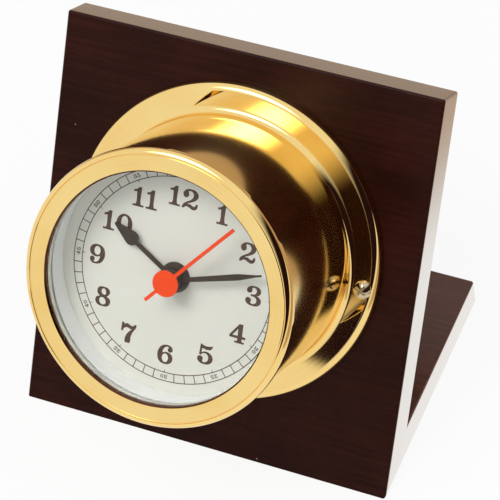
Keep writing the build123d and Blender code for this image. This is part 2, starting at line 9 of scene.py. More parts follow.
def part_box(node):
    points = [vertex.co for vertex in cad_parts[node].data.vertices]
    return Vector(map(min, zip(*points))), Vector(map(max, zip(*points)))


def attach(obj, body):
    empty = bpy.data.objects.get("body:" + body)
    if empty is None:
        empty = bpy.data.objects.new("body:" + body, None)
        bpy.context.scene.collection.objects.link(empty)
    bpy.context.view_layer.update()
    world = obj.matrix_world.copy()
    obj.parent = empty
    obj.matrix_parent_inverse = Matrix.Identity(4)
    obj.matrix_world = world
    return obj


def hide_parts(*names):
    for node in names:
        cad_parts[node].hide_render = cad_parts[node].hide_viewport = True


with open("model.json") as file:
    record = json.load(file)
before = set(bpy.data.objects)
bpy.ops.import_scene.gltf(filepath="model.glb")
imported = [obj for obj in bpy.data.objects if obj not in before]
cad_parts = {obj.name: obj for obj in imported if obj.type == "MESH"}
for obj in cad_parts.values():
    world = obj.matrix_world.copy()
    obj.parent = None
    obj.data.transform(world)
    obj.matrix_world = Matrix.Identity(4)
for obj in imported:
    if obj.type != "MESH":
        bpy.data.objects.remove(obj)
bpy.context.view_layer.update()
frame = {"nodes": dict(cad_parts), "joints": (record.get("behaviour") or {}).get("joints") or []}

mm = 0.001
nodes = frame["nodes"]
scene = bpy.context.scene
scene.view_settings.view_transform = "Standard"
print("frame loaded with", len(nodes), "nodes")

# the clock's own frame: x to the right, y up the panel, z out of the panel's face
handSpin = next(joint for joint in frame["joints"] if joint["name"] == "seconds_spin")
faceOut = -Vector(handSpin["axis"]).normalized()
leanTurn = math.acos(faceOut.z)
boardFoot = Vector((0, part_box("base_board")[0].y, 0))
handAxis = Vector(handSpin["pos_m"])
clockCentre = handAxis + faceOut * (boardFoot - handAxis).dot(faceOut)
clockPlace = Matrix.Translation(clockCentre) @ Matrix.Rotation(leanTurn, 4, "X")


# camera at the photograph's angle, worked out for a square picture
cameraSet = {
    "lens": 214.126,
    "sensor": 36,
    "clip": (0.05, 20),
    "place": (311.738, -478.686, 777.442),
    "azimuth": 32.4859,
    "elevation": 51.8416,
    "roll": -11.7776,
}


def setCamera():
    angles = (cameraSet[key] for key in ("azimuth", "elevation", "roll"))
    azimuth, elevation, roll = (math.radians(angle) for angle in angles)
    level = math.cos(elevation)
    back = Vector((math.sin(azimuth) * level, -math.cos(azimuth) * level, math.sin(elevation)))
    right = Vector((0, 0, 1)).cross(back).normalized()
    up = back.cross(right)
    tilted = right * math.cos(roll) + up * math.sin(roll)
    upright = up * math.cos(roll) - right * math.sin(roll)
    data = bpy.data.cameras.new("camera")
    data.lens = cameraSet["lens"]
    data.sensor_width = cameraSet["sensor"]
    data.clip_start, data.clip_end = cameraSet["clip"]
    camera = bpy.data.objects.new("camera", data)
    turn = Matrix((tilted, upright, back)).transposed().to_4x4()
    camera.matrix_world = Matrix.Translation(Vector(cameraSet["place"]) * mm) @ turn
    scene.collection.objects.link(camera)
    scene.camera = camera


setCamera()
print("camera set")


# shader maths on sockets, and one way to add every other node
class Wire:
    def __init__(self, tree, socket=None):
        self.tree = tree
        self.socket = socket

    def node(self, kind, settings=None, inputs=None, output=0):
        made = self.tree.nodes.new(kind)
        for name, value in (settings or {}).items():
            setattr(made, name, value)
        for name, value in (inputs or {}).items():
            if isinstance(value, Wire):
                self.tree.links.new(value.socket, made.inputs[name])
            else:
                made.inputs[name].default_value = value
        return Wire(self.tree, made.outputs[output] if made.outputs else None)

    def maths(self, operation, first, second):
        return self.node("ShaderNodeMath", {"operation": operation}, {0: first, 1: second})

    def __add__(self, other):
        return self.maths("ADD", self, other)

    def __radd__(self, other):
        return self.maths("ADD", other, self)

    def __sub__(self, other):
        return self.maths("SUBTRACT", self, other)

    def __rsub__(self, other):
        return self.maths("SUBTRACT", other, self)

    def __mul__(self, other):
        return self.maths("MULTIPLY", self, other)

    def __rmul__(self, other):
        return self.maths("MULTIPLY", other, self)

    def __pow__(self, other):
        return self.maths("POWER", self, other)

    def larger(self, other):
        return self.maths("MAXIMUM", self, other)


def startFinish(name):
    material = bpy.data.materials.new(name)
    material.use_nodes = True
    material.node_tree.nodes.clear()
    return material, Wire(material.node_tree)


def endFinish(wire, surface):
    wire.node("ShaderNodeOutputMaterial", None, {"Surface": surface})


def objectPlace(wire):
    return wire.node("ShaderNodeTexCoord", None, None, "Object")


def clockCoordinates(wire):
    back = clockPlace.inverted()
    return wire.node(
        "ShaderNodeMapping",
        None,
        {"Vector": objectPlace(wire), "Location": back.translation, "Rotation": back.to_euler()},
    )


def axisValue(wire, vector, axis):
    return wire.node("ShaderNodeSeparateXYZ", None, {0: vector}, axis)


def noise(wire, vector, scale, detail, roughness=0.5):
    inputs = {"Vector": vector, "Scale": scale, "Detail": detail, "Roughness": roughness}
    return wire.node("ShaderNodeTexNoise", None, inputs)


def stretched(wire, vector, scale):
    return wire.node("ShaderNodeMapping", None, {"Vector": vector, "Scale": scale})


def mixColour(wire, factor, first, second):
    return wire.node("ShaderNodeMix", {"data_type": "RGBA"}, {0: factor, 6: first, 7: second}, 2)


def between(wire, value, low, high):
    settings = {"interpolation_type": "SMOOTHSTEP"}
    return wire.node("ShaderNodeMapRange", settings, {0: value, 1: low, 2: high})


def mixShader(wire, factor, first, second):
    return wire.node("ShaderNodeMixShader", None, {0: factor, 1: first, 2: second})


def lightPath(wire, output):
    return wire.node("ShaderNodeLightPath", None, None, output)


def bump(wire, height, strength, distance):
    inputs = {"Height": height, "Strength": strength, "Distance": distance}
    return wire.node("ShaderNodeBump", None, inputs)


def principled(wire, inputs):
    return wire.node("ShaderNodeBsdfPrincipled", None, inputs)


# studio: a pale floor that metal mirrors as tan far behind and to the right, white surroundings with a
# dim side, a fill that is stronger from the right, and one soft lamp overhead
white = (1, 1, 1, 1)
studio = {
    "floorSize": 2.4,
    "floorColour": (0.86, 0.86, 0.85, 1),
    "floorSecond": (0.9, 0.9, 0.89, 1),
    "floorGrain": 900,
    "floorRough": 0.9,
    "floorGlow": 0.9,
    "backColour": (0.50, 0.355, 0.245, 1),
    "backFade": (0.14, 0.34),
    "sideFade": (0.108, 0.17),
    "sideSlant": 0.6,
    "backTurn": (0.2, 0.6),
    "backRise": (0.2, 0.6),
    "fillToward": (0.85, -0.35, 0.40),
    "fillFade": (-0.8, 0.9),
    "fillLow": (0.30, 0.30, 0.30, 1),
    "fillHigh": (0.90, 0.92, 0.93, 1),
    "bright": (0.95, 0.95, 0.95, 1),
    "dim": (0.018, 0.007, 0.012, 1),
    "dimToward": (0.765, -0.337, -0.548),
    "dimSoft": (-0.15, 0.17),
    "dimRise": (0.12, 0.15),
    "dimEdge": (-0.029, -0.0265),
    "dimLift": (0.09, 0.0, 1.0),
    "dimFoot": (0.1615, 0.1665),
    "dimNear": (-0.26, -0.2),
    "keyPlace": (-0.22, -0.30, 0.88),
    "keyWatts": 7.8,
    "keySize": 0.58,
    "keySoft": (0.12, 0.5),
}


# rays that see the surroundings as a picture: straight, mirrored or through glass, before any matt surface
def seenDirectly(wire):
    camera = lightPath(wire, "Is Camera Ray")
    mirrored, through = lightPath(wire, "Is Glossy Ray"), lightPath(wire, "Is Transmission Ray")
    straight = wire.maths("LESS_THAN", lightPath(wire, "Diffuse Depth"), 0.5)
    return camera.larger(mirrored).larger(through) * straight, camera


def setFloor():
    bpy.ops.object.select_all(action="DESELECT")
    bpy.ops.mesh.primitive_plane_add(size=studio["floorSize"])
    floor = bpy.context.object
    floor.name = "floor"
    material, wire = startFinish("pale_floor")
    seen, camera = seenDirectly(wire)
    place = objectPlace(wire)
    grain = noise(wire, place, studio["floorGrain"], 2)
    level = mixColour(wire, grain, studio["floorColour"], studio["floorSecond"])
    inputs = {"Base Color": level, "Roughness": studio["floorRough"], "Specular IOR Level": 0.0}
    matt = principled(wire, inputs)
    across, along = axisValue(wire, place, 0), axisValue(wire, place, 1)
    aside = between(wire, across + along * studio["sideSlant"], *studio["sideFade"])
    far = between(wire, along, *studio["backFade"]).larger(aside)
    glowColour = mixColour(wire, far * (1 - camera), white, studio["backColour"])
    glow = wire.node("ShaderNodeEmission", None, {"Color": glowColour, "Strength": 1.0})
    endFinish(wire, mixShader(wire, seen * studio["floorGlow"], matt, glow))
    floor.data.materials.append(material)


# the dim side has a sharp edge for what the flange mirrors once, and a soft one for what is mirrored twice
def setWorld():
    world = bpy.data.worlds.new("studio")
    world.use_nodes = True
    world.node_tree.nodes.clear()
    scene.world = world
    wire = Wire(world.node_tree)
    seen, camera = seenDirectly(wire)
    direction = wire.node("ShaderNodeTexCoord", None, None, "Generated")
    across, backward, height = (axisValue(wire, direction, axis) for axis in range(3))

    def along(way):
        settings = {"operation": "DOT_PRODUCT"}
        return wire.node("ShaderNodeVectorMath", settings, {0: direction, 1: way}, "Value")

    side = along(studio["dimToward"])
    near = 1 - between(wire, across, *studio["dimNear"])
    lifted = between(wire, along(studio["dimLift"]), *studio["dimFoot"])
    sharp = between(wire, side, *studio["dimEdge"]) * lifted
    soft = between(wire, side, *studio["dimSoft"]) * between(wire, height, *studio["dimRise"])
    dim = sharp * near + soft * (1 - near)
    behind = between(wire, backward, *studio["backTurn"]) * (1 - between(wire, height, *studio["backRise"]))
    mirrored = mixColour(wire, dim, studio["bright"], studio["dim"])
    mirrored = mixColour(wire, behind, mirrored, studio["backColour"])
    filled = between(wire, along(studio["fillToward"]), *studio["fillFade"])
    even = mixColour(wire, filled, studio["fillLow"], studio["fillHigh"])
    around = mixColour(wire, camera, mixColour(wire, seen, even, mirrored), white)
    light = wire.node("ShaderNodeBackground", None, {"Color": around, "Strength": 1.0})
    wire.node("ShaderNodeOutputWorld", None, {"Surface": light})


# the lamp is a soft box: its glow fades from the middle to the edge
def setLamp():
    data = bpy.data.lights.new("key_lamp", "AREA")
    data.energy = studio["keyWatts"]
    data.size = studio["keySize"]
    data.use_nodes = True
    data.node_tree.nodes.clear()
    wire = Wire(data.node_tree)
    spot = wire.node("ShaderNodeNewGeometry", None, None, "Parametric")
    across, along = axisValue(wire, spot, 0) - 0.5, axisValue(wire, spot, 1) - 0.5
    fade = 1 - between(wire, (across * across + along * along) ** 0.5, *studio["keySoft"])
    glow = wire.node("ShaderNodeEmission", None, {"Strength": fade})
    wire.node("ShaderNodeOutputLight", None, {0: glow})
    lamp = bpy.data.objects.new("key_lamp", data)
    lamp.location = studio["keyPlace"]
    toClock = clockCentre - Vector(studio["keyPlace"])
    lamp.rotation_euler = toClock.to_track_quat("-Z", "Y").to_euler()
    scene.collection.objects.link(lamp)


setFloor()
setWorld()
setLamp()
print("studio set")


# polished brass: turned rings and smudges, a duller cylinder, and the bezel's mouth painted dark in front, a
# painted shade in the recess, and pale behind, a painted reflection; the ranges of mouth and wall are radii
# and heights in the clock's frame
brassLook = {
    "colour": (0.945, 0.70, 0.285, 1),
    "deep": (0.87, 0.575, 0.18, 1),
    "deepRange": (0.3, 0.85),
    "deepMarks": 0.25,
    "polish": 0.004,
    "smudge": 0.022,
    "smudgeScale": 45,
    "marks": 0.01,
    "markScale": 2200,
    "markDepth": (0.02, 0.00003),
    "mouth": (0.0364, 0.0365),
    "mouthFloor": (0.05, 0.0501),
    "mouthDepth": (0.0516, 0.0526),
    # the mouth's two tones are painted light: pale for a painted reflection, dark for a painted shade
    "mouthPaintedPale": (0.84, 0.82, 0.77, 1),
    "mouthPaintedDark": (0.10, 0.036, 0.018, 1),
    "mouthDull": 0.25,
    "wall": (0.0419, 0.0421),
    "wallFoot": (0.005, 0.012),
    "wallTop": (0.0508, 0.0509),
    "wallDull": 0.09,
}


def makeBrass():
    look = brassLook
    material, wire = startFinish("polished_brass")
    place = clockCoordinates(wire)
    across, along, outward = (axisValue(wire, place, axis) for axis in range(3))
    radius = (across * across + along * along) ** 0.5
    rings = wire.node("ShaderNodeCombineXYZ", None, {0: radius, 1: outward})
    marks = noise(wire, rings, look["markScale"], 3)
    smudge = noise(wire, place, look["smudgeScale"], 3)
    uneven = smudge * (1 - look["deepMarks"]) + marks * look["deepMarks"]
    tone = mixColour(wire, between(wire, uneven, *look["deepRange"]), look["colour"], look["deep"])
    # painted shade and painted reflection on the mouth's wall: dark towards the front, pale towards the back
    mouth = (1 - between(wire, radius, *look["mouth"])) * between(wire, outward, *look["mouthFloor"])
    mouthShadeBlend = between(wire, outward, *look["mouthDepth"])
    tone = mixColour(wire, mouth, tone, mixColour(wire, mouthShadeBlend, look["mouthPaintedPale"], look["mouthPaintedDark"]))
    wall = (1 - between(wire, radius, *look["wall"])) * between(wire, outward, *look["wallFoot"])
    wall = wall * (1 - between(wire, outward, *look["wallTop"]))
    dull = mouth * look["mouthDull"] + wall * look["wallDull"]
    rough = look["polish"] + smudge * look["smudge"] + marks * look["marks"] + dull
    normal = bump(wire, marks, *look["markDepth"])
    inputs = {"Base Color": tone, "Metallic": 1.0, "Roughness": rough, "Normal": normal}
    endFinish(wire, principled(wire, inputs))
    return material


# dark red lacquer over wood: the panel is rubbed dull, the base keeps its shine, and the narrow sides and
# the top edge, found by their place in the clock's frame, have a strong sheen
lacquerLook = {
    "grainAlong": 30,
    "grainAcross": 900,
    "cloudScale": 38,
    "warmRange": (0.35, 0.7),
    "speck": (0.30, 0.22, 0.18, 1),
    "speckScale": 130.0,
    "speckSize": (0.02, 0.05),
    "choiceScale": 62,
    "choiceRange": (0.6, 0.63),
    "peelScale": 420,
    "peelShare": 0.7,
    "peelDepth": (0.05, 0.00012),
    "rough": 0.22,
    "peelRough": 0.12,
    "edgeGloss": (0.93, 0.90, 0.86, 1),
    "edgeRough": 0.16,
    "edgeFacing": (0.25, 0.85),
    "sideEdge": (0.0618, 0.0623),
    "topEdge": (0.0598, 0.0603),
    "topSheen": 0.64,
    "panel": {
        "dark": (0.017, 0.0034, 0.0019, 1),
        "warm": (0.037, 0.0076, 0.0042, 1),
        "shine": 0.08,
    },
    "base": {
        "dark": (0.086, 0.0255, 0.0150, 1),
        "warm": (0.145, 0.0520, 0.0310, 1),
        "shine": 0.36,
    },
}


def makeLacquer(board):
    look, own = lacquerLook, lacquerLook[board]
    material, wire = startFinish(board + "_lacquer")
    place = objectPlace(wire)
    grainScale = (look["grainAlong"], look["grainAcross"], look["grainAcross"])
    grain = noise(wire, stretched(wire, place, grainScale), 1.0, 4, 0.6)
    cloud = noise(wire, place, look["cloudScale"], 3, 0.6)
    warm = between(wire, grain * 0.5 + cloud * 0.5, *look["warmRange"])
    tone = mixColour(wire, warm, own["dark"], own["warm"])
    cells = {"Vector": place, "Scale": look["speckScale"]}
    spot = wire.node("ShaderNodeTexVoronoi", None, cells, "Distance")
    chosen = between(wire, noise(wire, place, look["choiceScale"], 2), *look["choiceRange"])
    speck = (1 - between(wire, spot, *look["speckSize"])) * chosen
    tone = mixColour(wire, speck, tone, look["speck"])
    peel = noise(wire, place, look["peelScale"], 2)
    waves = peel * look["peelShare"] + grain * (1 - look["peelShare"])
    normal = bump(wire, waves, *look["peelDepth"])
    inputs = {
        "Base Color": tone,
        "Roughness": look["rough"] + peel * look["peelRough"],
        "Specular IOR Level": own["shine"],
        "Normal": normal,
    }
    coat = principled(wire, inputs)
    inputs = {"Color": look["edgeGloss"], "Roughness": look["edgeRough"], "Normal": normal}
    gloss = wire.node("ShaderNodeBsdfGlossy", None, inputs)
    facing = wire.node("ShaderNodeLayerWeight", None, {"Blend": 0.5, "Normal": normal}, "Facing")
    slope = clockCoordinates(wire)
    across = axisValue(wire, slope, 0)
    side = between(wire, across.larger(0 - across), *look["sideEdge"])
    top = between(wire, axisValue(wire, slope, 1), *look["topEdge"]) * look["topSheen"]
    sheen = between(wire, facing, *look["edgeFacing"]) * side.larger(top)
    endFinish(wire, mixShader(wire, sheen, coat, gloss))
    return material


# low-glare glass with a weak mirror; the lamp's light passes straight through it
glassLook = {
    "tint": (0.985, 0.992, 0.985, 1),
    "bending": 1.22,
    "shade": (0.97, 0.98, 0.97, 1),
}


def makeGlass():
    material, wire = startFinish("clear_glass")
    inputs = {
        "Base Color": glassLook["tint"],
        "Roughness": 0.0,
        "IOR": glassLook["bending"],
        "Transmission Weight": 1.0,
    }
    clear = principled(wire, inputs)
    gap = wire.node("ShaderNodeBsdfTransparent", None, {"Color": glassLook["shade"]})
    endFinish(wire, mixShader(wire, lightPath(wire, "Is Shadow Ray"), clear, gap))
    return material


# painted or moulded surfaces: two near tones, a fine grain in the bump and an uneven sheen
paintLook = {"cloudScale": 70, "grainShare": 0.4, "grainHeight": 0.00004, "cloudRough": 0.12}


def makePaint(name, tone, second, rough, grainScale, grainDepth, specular=0.4):
    look = paintLook
    material, wire = startFinish(name)
    place = objectPlace(wire)
    grain = noise(wire, place, grainScale, 3, 0.6)
    cloud = noise(wire, place, look["cloudScale"], 2)
    uneven = grain * look["grainShare"] + cloud * (1 - look["grainShare"])
    inputs = {
        "Base Color": mixColour(wire, uneven, tone, second),
        "Roughness": rough + cloud * look["cloudRough"],
        "Specular IOR Level": specular,
        "Normal": bump(wire, grain, grainDepth, look["grainHeight"]),
    }
    endFinish(wire, principled(wire, inputs))
    return material


# plain metals: drawn or rolled marks along x, and patches of dull oxide
metalLook = {
    "markScale": (60, 1800, 1800),
    "patchScale": 240,
    "markDepth": (0.06, 0.00003),
    "markRough": 0.12,
    "patchRough": 0.08,
}


def makeMetal(name, tone, second, rough):
    look = metalLook
    material, wire = startFinish(name)
    place = objectPlace(wire)
    marks = noise(wire, stretched(wire, place, look["markScale"]), 1.0, 3)
    patch = noise(wire, place, look["patchScale"], 3)
    inputs = {
        "Base Color": mixColour(wire, patch, tone, second),
        "Metallic": 1.0,
        "Roughness": rough + marks * look["markRough"] + patch * look["patchRough"],
        "Normal": bump(wire, marks, *look["markDepth"]),
    }
    endFinish(wire, principled(wire, inputs))
    return material


# battery jacket: dark, with a bare copper-coloured band at one end and worn patches
jacketLook = {
    "dark": (0.03, 0.032, 0.036, 1),
    "copper": (0.62, 0.34, 0.12, 1),
    "worn": (0.12, 0.12, 0.12, 1),
    "band": (0.0085, 0.009),
    "bandMetal": 0.6,
    "wearScale": 300,
    "wearShare": 0.2,
    "rough": 0.3,
    "wearRough": 0.15,
}


def makeBatteryJacket():
    look = jacketLook
    material, wire = startFinish("battery_jacket")
    place = objectPlace(wire)
    wear = noise(wire, place, look["wearScale"], 2)
    band = between(wire, axisValue(wire, place, 0), *look["band"])
    tone = mixColour(wire, band, look["dark"], look["copper"])
    inputs = {
        "Base Color": mixColour(wire, wear * look["wearShare"], tone, look["worn"]),
        "Roughness": look["rough"] + wear * look["wearRough"],
        "Metallic": band * look["bandMetal"],
    }
    endFinish(wire, principled(wire, inputs))
    return material


# every finish by its short name: two tones, roughness, and for paints the grain's scale, its depth and
# the specular level
finishes = {
    "brass": makeBrass(),
    "screw": makeMetal("bright_screw", (0.66, 0.57, 0.40, 1), (0.54, 0.44, 0.29, 1), 0.02),
    "plainBrass": makeMetal("plain_brass", (0.78, 0.56, 0.24, 1), (0.66, 0.45, 0.18, 1), 0.24),
    "panelLacquer": makeLacquer("panel"),
    "baseLacquer": makeLacquer("base"),
    "glass": makeGlass(),
    "rubber": makePaint(
        "black_rubber", (0.012, 0.012, 0.012, 1), (0.022, 0.021, 0.02, 1), 0.6, 2600, 0.2
    ),
    "rehaut": makePaint(
        "white_plastic", (0.94, 0.945, 0.94, 1), (0.90, 0.905, 0.895, 1), 0.45, 2400, 0.04
    ),
    "dial": makePaint(
        "dial_white", (0.73, 0.715, 0.65, 1), (0.69, 0.675, 0.61, 1), 0.5, 3200, 0.03, 0.2
    ),
    "ink": makePaint(
        "dial_ink", (0.078, 0.043, 0.030, 1), (0.102, 0.060, 0.043, 1), 0.55, 3600, 0.1, 0.1
    ),
    "handDark": makePaint(
        "hand_dark", (0.036, 0.022, 0.015, 1), (0.052, 0.033, 0.023, 1), 0.36, 2600, 0.05, 0.2
    ),
    "handOrange": makePaint(
        "hand_orange", (0.88, 0.066, 0.004, 1), (0.80, 0.054, 0.003, 1), 0.42, 2600, 0.05, 0.1
    ),
    "dowel": makePaint("dowel_wood", (0.55, 0.36, 0.18, 1), (0.42, 0.26, 0.12, 1), 0.6, 1400, 0.25),
    "gear": makePaint("gear_plastic", (0.74, 0.72, 0.64, 1), (0.64, 0.62, 0.55, 1), 0.4, 1800, 0.06),
    "steel": makeMetal("spring_steel", (0.62, 0.62, 0.60, 1), (0.48, 0.48, 0.47, 1), 0.22),
    "magnet": makePaint("magnet", (0.05, 0.05, 0.055, 1), (0.09, 0.09, 0.095, 1), 0.5, 2200, 0.2),
    "iron": makeMetal("motor_iron", (0.44, 0.43, 0.41, 1), (0.34, 0.33, 0.31, 1), 0.32),
    "copper": makeMetal("copper_wire", (0.82, 0.36, 0.16, 1), (0.66, 0.25, 0.1, 1), 0.2),
    "laminate": makePaint(
        "circuit_laminate", (0.012, 0.12, 0.045, 1), (0.02, 0.17, 0.06, 1), 0.42, 1600, 0.15
    ),
    "blackPlastic": makePaint(
        "black_plastic", (0.014, 0.014, 0.015, 1), (0.028, 0.028, 0.029, 1), 0.42, 1300, 0.22
    ),
    "jacket": makeBatteryJacket(),
}
print("finishes made:", len(finishes))


# working helpers: a clean start, one selection, the way a piece is closed
meshMake = {"merge": 1e-7, "flatWeight": 100}


def clearSelection():
    if bpy.context.object and bpy.context.object.mode != "OBJECT":
        bpy.ops.object.mode_set(mode="OBJECT")
    bpy.ops.object.select_all(action="DESELECT")


def pick(piece):
    clearSelection()
    piece.select_set(True)
    bpy.context.view_layer.objects.active = piece


def editPiece(piece):
    pick(piece)
    bpy.ops.object.mode_set(mode="EDIT")
    bpy.ops.mesh.select_mode(type="EDGE")
    bpy.ops.mesh.select_all(action="SELECT")


def closeMesh():
    bpy.ops.mesh.select_all(action="SELECT")
    bpy.ops.mesh.remove_doubles(threshold=meshMake["merge"])
    bpy.ops.mesh.normals_make_consistent(inside=False)
    bpy.ops.object.mode_set(mode="OBJECT")


def applyPlace(piece, place):
    pick(piece)
    piece.matrix_world = place
    bpy.ops.object.transform_apply(location=True, rotation=True, scale=True)


def chooseEdges(piece, test):
    bpy.ops.mesh.select_all(action="DESELECT")
    mesh = bmesh.from_edit_mesh(piece.data)
    for edge in mesh.edges:
        if test(*(corner.co for corner in edge.verts)):
            edge.select_set(True)
    bmesh.update_edit_mesh(piece.data)


def settle(piece, finish, body, stands=(), angle=32):
    pick(piece)
    bpy.ops.object.shade_smooth_by_angle(angle=math.radians(angle))
    weighted = piece.modifiers.new("flats", "WEIGHTED_NORMAL")
    weighted.keep_sharp = True
    weighted.weight = meshMake["flatWeight"]
    bpy.ops.object.modifier_apply(modifier="flats")
    piece.data.materials.clear()
    piece.data.materials.append(finishes[finish])
    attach(piece, body)
    if stands:
        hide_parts(*stands)


def arc(centreRadius, centreHeight, radius, start, end, count):
    points = []
    for step in range(count + 1):
        angle = math.radians(start + (end - start) * step / count)
        points.append((centreRadius + radius * math.cos(angle), centreHeight + radius * math.sin(angle)))
    return points


# lathe: the outline is drawn point by point as (radius, height) and spun round the axis
def turn(name, outline, steps, place=clockPlace):
    clearSelection()
    bpy.ops.mesh.primitive_plane_add(size=mm)
    piece = bpy.context.object
    piece.name = name
    bpy.ops.object.mode_set(mode="EDIT")
    bpy.ops.mesh.select_mode(type="VERT")
    bpy.ops.mesh.select_all(action="SELECT")
    bpy.ops.mesh.merge(type="CENTER")
    bpy.ops.transform.translate(value=(outline[0][0] * mm, 0, outline[0][1] * mm))
    for before, after in zip(outline, outline[1:]):
        step = ((after[0] - before[0]) * mm, 0, (after[1] - before[1]) * mm)
        bpy.ops.mesh.extrude_vertices_move(TRANSFORM_OT_translate={"value": step})
    bpy.ops.mesh.select_all(action="SELECT")
    bpy.ops.mesh.spin(steps=steps, angle=2 * math.pi, center=(0, 0, 0), axis=(0, 0, 1))
    closeMesh()
    applyPlace(piece, place)
    return piece


def rod(radius, low, high):
    return [(0, low), (radius, low), (radius, high), (0, high)]


def cut(piece, cutter):
    pick(piece)
    modifier = piece.modifiers.new("cut", "BOOLEAN")
    modifier.solver = "EXACT"
    modifier.object = cutter
    bpy.ops.object.modifier_apply(modifier="cut")
    bpy.data.objects.remove(cutter)


def joined(name, pieces):
    clearSelection()
    for piece in pieces:
        piece.select_set(True)
    bpy.context.view_layer.objects.active = pieces[0]
    bpy.ops.object.join()
    pieces[0].name = name
    return pieces[0]


def copied(piece, place):
    twin = piece.copy()
    twin.data = piece.data.copy()
    scene.collection.objects.link(twin)
    applyPlace(twin, place)
    return twin


# stand: two boards meeting on a mitre at the front, the panel with its round opening behind the clock
stand = {
    "width": 125.0,
    "panelLength": 130.5,
    "panelThickness": 12.0,
    "clockUp": 70.0,
    "baseDepth": 80.5,
    "baseThickness": 10.5,
    "innerCorner": 22.0,
    "arris": 0.8,
    "arrisSteps": 5,
    "opening": 35.0,
    "openingReach": (-20, 5),
    "openingChamfer": 0.7,
    "chamferSteps": 3,
    "near": 0.02,
    "rimNear": 0.05,
}


def makeBoards():
    mitre = math.atan2(stand["baseThickness"], stand["innerCorner"])
    mitreOut = Vector((0, -math.sin(mitre), math.cos(mitre)))

    def onMitre(corner):
        return abs((corner - boardFoot).dot(mitreOut)) < stand["near"] * mm

    def board(name, size, middle, place, keepAbove):
        clearSelection()
        bpy.ops.mesh.primitive_cube_add(size=1)
        piece = bpy.context.object
        piece.name = name
        scaled = Matrix.Diagonal((*(side * mm for side in size), 1))
        applyPlace(piece, place @ Matrix.Translation(Vector(middle) * mm) @ scaled)
        editPiece(piece)
        bpy.ops.mesh.bisect(
            plane_co=boardFoot,
            plane_no=mitreOut,
            use_fill=True,
            clear_inner=keepAbove,
            clear_outer=not keepAbove,
        )
        chooseEdges(piece, lambda first, second: not (onMitre(first) and onMitre(second)))
        bpy.ops.mesh.bevel(offset=stand["arris"] * mm, segments=stand["arrisSteps"], profile=0.5)
        closeMesh()
        return piece

    rise = stand["panelLength"] / 2 - stand["clockUp"]
    panelSize = (stand["width"], stand["panelLength"], stand["panelThickness"])
    panelMiddle = (0, rise, -stand["panelThickness"] / 2)
    panel = board("front_panel_board", panelSize, panelMiddle, clockPlace, True)
    cut(panel, turn("opening_cutter", rod(stand["opening"], *stand["openingReach"]), 160))
    behind = clockPlace.inverted()
    depth = stand["panelThickness"] * mm

    def onBackRim(corner):
        local = behind @ corner
        onBack = abs(local.z + depth) < stand["near"] * mm
        return onBack and abs(local.xy.length - stand["opening"] * mm) < stand["rimNear"] * mm

    editPiece(panel)
    chooseEdges(panel, lambda first, second: onBackRim(first) and onBackRim(second))
    chamfer = stand["openingChamfer"] * mm
    bpy.ops.mesh.bevel(offset=chamfer, segments=stand["chamferSteps"], profile=0.5)
    closeMesh()
    settle(panel, "panelLacquer", "clock", ["front_panel"])
    baseSize = (stand["width"], stand["baseDepth"], stand["baseThickness"])
    baseMiddle = (0, stand["baseDepth"] / 2 + boardFoot.y / mm, stand["baseThickness"] / 2)
    base = board("base_board_body", baseSize, baseMiddle, Matrix.Identity(4), False)
    settle(base, "baseLacquer", "clock", ["base_board"])


makeBoards()
print("boards made")


# brass case: flange with a rounded rim, fillet at the foot and a plain cylinder
caseTurning = {
    "bore": 39.0,
    "radius": 41.6,
    "seat": 39.8,
    "seatHeight": 38.4,
    "front": 51.0,
    "footFillet": 2.2,
    "flangeTop": 4.0,
    "flangeRadius": 51.0,
    "flangeEdge": 2.4,
    "rimChamfer": 0.3,
    "screwHole": 1.7,
    "holeReach": (-2, 8),
}
screwMake = {
    "circle": 46.8,
    "around": -3.4,
    "headRadius": 2.9,
    "headBase": 4.0,
    "headTop": 6.0,
    "headChamfer": 0.2,
    "rim": 4.5,
    "shank": 1.5,
    "shankEnd": -8.0,
    "shankTip": 2,
    "recessWidth": 0.9,
    "recessSpan": 3.8,
    "recessFloor": 4.8,
    "recessHeight": 3,
    "turns": (28, 63),
}


# the two screws sit across the case from each other, a little off level
def screwPlaces():
    spun = clockPlace @ Matrix.Rotation(math.radians(screwMake["around"]), 4, "Z")
    reach = screwMake["circle"] * mm
    return [spun @ Matrix.Translation((side * reach, 0, 0)) for side in (-1, 1)]


def makeCase():
    look = caseTurning
    rim, edge, chamfer = (look[key] for key in ("flangeRadius", "flangeEdge", "rimChamfer"))
    fillet = look["footFillet"]
    outline = [(look["bore"], look["seatHeight"]), (look["bore"], 0), (rim - chamfer, 0), (rim, chamfer)]
    outline += arc(rim - edge, look["flangeTop"] - edge, edge, 0, 90, 16)
    outline += arc(look["radius"] + fillet, look["flangeTop"] + fillet, fillet, 270, 180, 16)
    outline += [
        (look["radius"], look["front"]),
        (look["seat"], look["front"]),
        (look["seat"], look["seatHeight"]),
        (look["bore"], look["seatHeight"]),
    ]
    case = turn("case_turning", outline, 320)
    for place in screwPlaces():
        cut(case, turn("hole_cutter", rod(look["screwHole"], *look["holeReach"]), 32, place))
    settle(case, "brass", "clock", ["case_body"])


# bezel: flat face with a fine turned line, rounded shoulder, chamfered mouth and a spigot in the case
bezelTurning = {
    "spigot": 39.75,
    "radius": 43.05,
    "back": 51.0,
    "backChamfer": 0.2,
    "front": 54.0,
    "shoulder": 1.8,
    "shoulderEnd": 84,
    "lineWidth": 0.3,
    "lineDepth": 0.25,
    "lineChamfer": 0.06,
    "mouth": 36.0,
    "chamfer": 0.5,
    "lipBack": 50.2,
}


